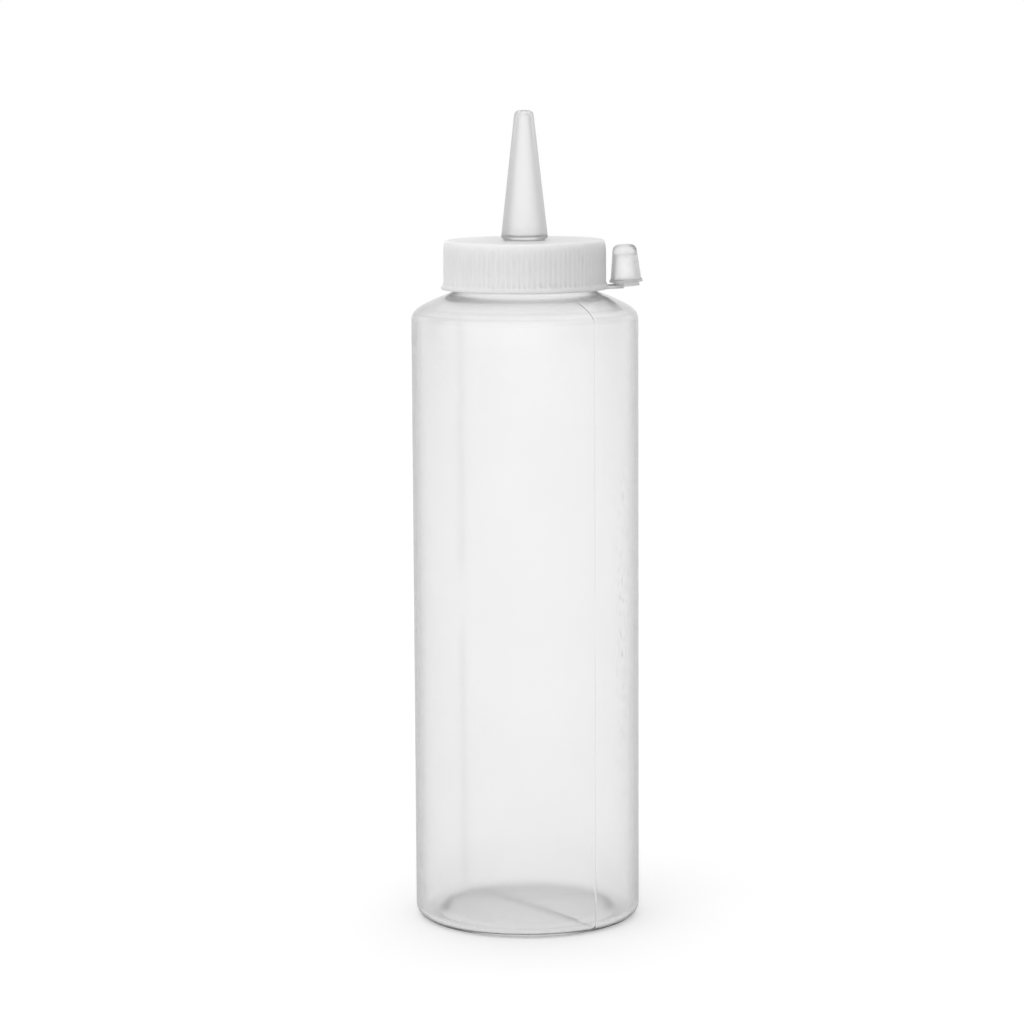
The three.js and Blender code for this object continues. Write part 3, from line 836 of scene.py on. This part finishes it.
    def stud(self, sizes, context, rim, bottom):
        """Collar and stud that hold the parked tip cap."""
        pin = tip_bore(context) - context.scene.tip_cap_sizes.seat_gap
        under, face = sizes.tab_thickness / 2, sizes.tab_thickness + sizes.collar_height
        top = sizes.tab_thickness + sizes.stud_height
        section = outline(
            (0, under),
            (sizes.collar_radius, under),
            (sizes.collar_radius, face, sizes.collar_edge),
            (pin, face),
            (pin - sizes.stud_height * nozzle_slope(context), top, sizes.stud_edge),
            (0, top),
        )
        stud = turned("parking_stud", section, sizes.stud_steps)
        stud.data.transform(Matrix.Translation((sizes.stud_reach, 0, 0)))
        return self.on_tab(stud, sizes, rim, bottom)


def nozzle_slope(context):
    """How much the cone's radius shrinks for each metre up."""
    sizes = context.scene.nozzle_sizes
    return (sizes.foot - sizes.tip) / sizes.cone_length


def tip_bore(context):
    """Radius of the tip cap's bore at its mouth, which clears the cone where it would sit."""
    sizes = context.scene.tip_cap_sizes
    return context.scene.nozzle_sizes.tip + sizes.cover * nozzle_slope(context) + sizes.clearance


class Nozzle(bpy.types.Operator):
    """Conical nozzle with its lid groove, flange and plug"""

    bl_idname = "squeeze_bottle.nozzle"
    bl_label = "Nozzle"

    def execute(self, context):
        sizes = context.scene.nozzle_sizes
        slope = nozzle_slope(context)
        foot = sizes.top - sizes.cone_length
        flange_bottom = sizes.bottom + sizes.plug_depth
        flange_top = flange_bottom + sizes.flange_thickness
        bottle = context.scene.bottle_sizes
        plug = bottle.neck - bottle.neck_wall - sizes.plug_gap
        plug_inner = plug - sizes.plug_wall
        bore_top = sizes.top - sizes.end_wall
        bore_top_radius = sizes.tip + sizes.end_wall * slope - sizes.wall
        ring_top = foot + sizes.foot_ring
        cone_bore = sizes.foot - sizes.foot_ring * slope - sizes.wall
        above_foot, below_tip = 2 * sizes.foot_rounding, 2 * sizes.tip_rounding
        section = outline(
            (plug_inner, sizes.bottom),
            (plug, sizes.bottom, sizes.plug_edge),
            (plug, flange_bottom),
            (sizes.flange, flange_bottom, sizes.flange_edge),
            (sizes.flange, flange_top, sizes.flange_edge),
            (sizes.groove, flange_top, sizes.groove_foot),
            (sizes.groove, foot, sizes.groove_top),
            (sizes.foot, foot, sizes.foot_rounding),
            *divided((sizes.foot - above_foot * slope, foot + above_foot),
                     (sizes.tip + below_tip * slope, sizes.top - below_tip), sizes.cone_steps),
            (sizes.tip, sizes.top, sizes.tip_rounding),
            (sizes.orifice, sizes.top, sizes.orifice_edge),
            (sizes.orifice, bore_top),
            (bore_top_radius, bore_top, sizes.bore_rounding),
            *divided((bore_top_radius + sizes.bore_start * slope, bore_top - sizes.bore_start),
                     (cone_bore, ring_top), sizes.cone_steps),
            (sizes.foot_bore, ring_top, sizes.foot_bore_edge),
            (sizes.foot_bore, flange_bottom, sizes.foot_bore_edge),
            (plug_inner, flange_bottom, sizes.plug_corner),
            (plug_inner, sizes.bottom),
        )
        spout = turned("nozzle_cone", section, sizes.steps)
        smooth(spout)
        look = context.scene.finishes
        # Moulded low-density polyethylene: clear like the bottle, but thicker and more dull
        plastic = polyethylene("natural_ldpe_moulded", look, look.nozzle, look.nozzle,
                               look.nozzle_roughness, look.nozzle_lines, look.nozzle_grain,
                               absorption=look.nozzle_absorption)
        finished(spout, plastic, "nozzle", "nozzle")
        return {"FINISHED"}


class TipCap(bpy.types.Operator):
    """Thimble parked mouth down on the tab's stud"""

    bl_idname = "squeeze_bottle.tip_cap"
    bl_label = "Tip cap"

    def execute(self, context):
        sizes, cap = context.scene.tip_cap_sizes, context.scene.cap_sizes
        thread, bottle = context.scene.thread_sizes, context.scene.bottle_sizes
        slope, bore = nozzle_slope(context), tip_bore(context)
        mouth = bore + sizes.wall
        lip = mouth + sizes.lip_width
        bore_end = sizes.height - sizes.end_wall
        section = outline(
            (0, bore_end - sizes.pin_length),
            (sizes.pin, bore_end - sizes.pin_length, sizes.edge),
            (sizes.pin, bore_end, sizes.edge),
            (bore - bore_end * slope, bore_end, sizes.bore_corner),
            (bore, 0, sizes.edge),
            (lip, 0, sizes.edge),
            (lip, sizes.lip_height, sizes.lip_edge),
            (mouth - sizes.lip_height * slope, sizes.lip_height, sizes.edge),
            (mouth - sizes.height * slope, sizes.height, sizes.end_rounding),
            (0, sizes.height),
        )
        thimble = turned("tip_thimble", section, sizes.steps)
        rim = bottle.neck + thread.height + thread.gap + cap.wall + cap.rib_depth + cap.flare
        seat = cap.tab_thickness + cap.collar_height + sizes.seat_gap
        thimble.data.transform(Matrix.Translation((cap.stud_reach, 0, seat)))
        ScrewCap.on_tab(thimble, cap, rim, cap.top - cap.height)
        smooth(thimble)
        look = context.scene.finishes
        # The same plastic, moulded in a small thimble that looks darker round its thick closed end
        plastic = polyethylene("natural_ldpe_thimble", look, look.tip_cap, look.tip_cap,
                               look.tip_roughness, look.tip_lines, look.tip_grain,
                               absorption=look.tip_absorption)
        finished(thimble, plastic, "tip_cap", "tip_cap")
        return {"FINISHED"}


class Stage(bpy.types.Operator):
    """Camera, pale floor and soft studio light"""

    bl_idname = "squeeze_bottle.stage"
    bl_label = "Stage"

    def execute(self, context):
        stage = context.scene.stage_settings
        self.camera(context, stage)
        self.floor(context, stage)
        self.light(context, stage)
        context.scene.view_settings.view_transform = "Standard"
        return {"FINISHED"}

    @staticmethod
    def camera(context, stage):
        """The photograph's view: from the front, looking a little down through a long lens."""
        lens = bpy.data.cameras.new("camera")
        lens.sensor_width = stage.sensor / MM
        lens.lens = stage.focal_pixels / stage.picture_pixels * lens.sensor_width
        lens.clip_start, lens.clip_end = stage.nearest, stage.farthest
        camera = bpy.data.objects.new("camera", lens)
        context.scene.collection.objects.link(camera)
        place = Matrix.Translation((stage.camera_side, -stage.camera_distance, stage.camera_height))
        upright = Matrix.Rotation(math.pi / 2 - stage.camera_tilt, 4, "X")
        camera.matrix_world = place @ upright @ Matrix.Rotation(-stage.camera_roll, 4, "Z")
        context.scene.camera = camera

    @staticmethod
    def floor(context, stage):
        """White paper that shows the bottle's soft shadow, and shows it weaker through the plastic."""
        deselect_all()
        bpy.ops.mesh.primitive_plane_add(size=stage.floor_size, location=(0, 0, -stage.floor_gap))
        floor = bpy.context.object
        floor.name = floor.data.name = "studio_floor"
        material, tree = new_material("matt_paper_floor")
        paint = add_node(tree, "ShaderNodeBsdfDiffuse", inputs={"Color": context.scene.finishes.floor})
        rays = add_node(tree, "ShaderNodeLightPath")
        camera = rays.outputs["Is Camera Ray"]
        direct_share, through_share = stage.floor_shadow, stage.shadow_through
        shadow = add_node(tree, "ShaderNodeMapRange",
                          inputs={"Value": camera, "To Min": through_share, "To Max": direct_share})
        # The light that makes up white together with the paper's own share
        lift = add_node(tree, "ShaderNodeMapRange",
                        inputs={"Value": camera,
                                "To Min": (1 - through_share * stage.lit_floor) / (1 - through_share),
                                "To Max": (1 - direct_share * stage.lit_floor) / (1 - direct_share)})
        white = add_node(tree, "ShaderNodeEmission", inputs={"Strength": lift.outputs["Result"]})
        shown = add_node(tree, "ShaderNodeMixShader",
                         inputs={0: shadow.outputs["Result"], 1: white.outputs[0], 2: paint.outputs[0]})
        seen = add_node(tree, "ShaderNodeMath", {"operation": "MAXIMUM"},
                        {0: camera, 1: rays.outputs["Is Transmission Ray"]})
        # Only what the camera sees, also through the plastic: what bounces off the bottle sees paper.
        # Before the first bounce the depth is 0, so it is less than a half.
        straight = add_node(tree, "ShaderNodeMath", {"operation": "LESS_THAN"},
                            {0: rays.outputs["Diffuse Depth"], 1: 0.5})
        direct = add_node(tree, "ShaderNodeMath", {"operation": "MULTIPLY"},
                          {0: seen.outputs[0], 1: straight.outputs[0]})
        either = add_node(tree, "ShaderNodeMixShader",
                          inputs={0: direct.outputs[0], 1: paint.outputs[0], 2: shown.outputs[0]})
        add_node(tree, "ShaderNodeOutputMaterial", inputs={"Surface": either.outputs[0]})
        floor.data.materials.append(material)

    @staticmethod
    def light(context, stage):
        """A white backdrop behind, a wide window in front and light overhead, all of them soft."""
        world = bpy.data.worlds.new("soft_studio")
        world.use_nodes = True
        context.scene.world = world
        tree = world.node_tree
        tree.nodes.clear()
        direction = add_node(tree, "ShaderNodeTexCoord").outputs["Generated"]
        parts = add_node(tree, "ShaderNodeSeparateXYZ", inputs={"Vector": direction})
        # The window is mostly in front, a little to the left and above. The rest of the room is dark.
        window = add_node(tree, "ShaderNodeVectorMath", {"operation": "DOT_PRODUCT"},
                          {0: direction, 1: stage.window_direction})
        room = add_node(tree, "ShaderNodeMapRange", {"interpolation_type": "SMOOTHSTEP"},
                        {"Value": window.outputs["Value"], "From Min": stage.room_edge,
                         "From Max": stage.window_middle, "To Min": stage.room_light,
                         "To Max": stage.window_light})
        back = add_node(tree, "ShaderNodeMapRange", {"interpolation_type": "SMOOTHSTEP"},
                        {"Value": parts.outputs["Y"], "From Min": stage.backdrop_edge,
                         "From Max": stage.backdrop_middle, "To Min": 0.0, "To Max": 1.0})
        above = add_node(tree, "ShaderNodeMapRange", {"interpolation_type": "SMOOTHSTEP"},
                         {"Value": parts.outputs["Z"], "From Min": stage.overhead_edge,
                          "From Max": stage.overhead_middle, "To Min": 0.0, "To Max": 1.0})
        lifted = add_node(tree, "ShaderNodeMix", {"data_type": "FLOAT"},
                          {"Factor": above.outputs["Result"], "A": room.outputs["Result"],
                           "B": stage.overhead_light})
        level = add_node(tree, "ShaderNodeMix", {"data_type": "FLOAT"},
                         {"Factor": back.outputs["Result"], "A": lifted.outputs["Result"],
                          "B": stage.backdrop_light})
        around, white = (add_node(tree, "ShaderNodeBackground",
                                  inputs={"Color": linear("#FFFFFF"), "Strength": strength})
                         for strength in (level.outputs["Result"], 1))
        rays = add_node(tree, "ShaderNodeLightPath")
        # The camera itself sees plain white behind the floor
        shown = add_node(tree, "ShaderNodeMixShader",
                         inputs={0: rays.outputs["Is Camera Ray"], 1: around.outputs[0],
                                 2: white.outputs[0]})
        add_node(tree, "ShaderNodeOutputWorld", inputs={"Surface": shown.outputs[0]})


class BottlePanel(bpy.types.Panel):
    """Builders of the squeeze bottle's pieces"""

    bl_label = "Squeeze Bottle"
    bl_idname = "VIEW3D_PT_squeeze_bottle"
    bl_space_type = "VIEW_3D"
    bl_region_type = "UI"
    bl_category = "Squeeze Bottle"

    def draw(self, context):
        for builder in BUILDERS:
            self.layout.operator(builder.bl_idname)


BUILDERS = (BottleBody, ScrewCap, Nozzle, TipCap, Stage)
SETTINGS = {
    "bottle_sizes": BottleSizes,
    "thread_sizes": ThreadSizes,
    "cap_sizes": CapSizes,
    "nozzle_sizes": NozzleSizes,
    "tip_cap_sizes": TipCapSizes,
    "finishes": Finishes,
    "stage_settings": StageSettings,
}


def register():
    for group in (*SETTINGS.values(), *BUILDERS, BottlePanel):
        bpy.utils.register_class(group)
    for name, group in SETTINGS.items():
        setattr(bpy.types.Scene, name, PointerProperty(type=group))


def unregister():
    for name in SETTINGS:
        delattr(bpy.types.Scene, name)
    for group in reversed((*SETTINGS.values(), *BUILDERS, BottlePanel)):
        bpy.utils.unregister_class(group)


def main():
    register()
    bpy.ops.squeeze_bottle.stage()
    bpy.ops.squeeze_bottle.body()
    bpy.ops.squeeze_bottle.screw_cap()
    bpy.ops.squeeze_bottle.nozzle()
    bpy.ops.squeeze_bottle.tip_cap()


if __name__ == "__main__":
    main()
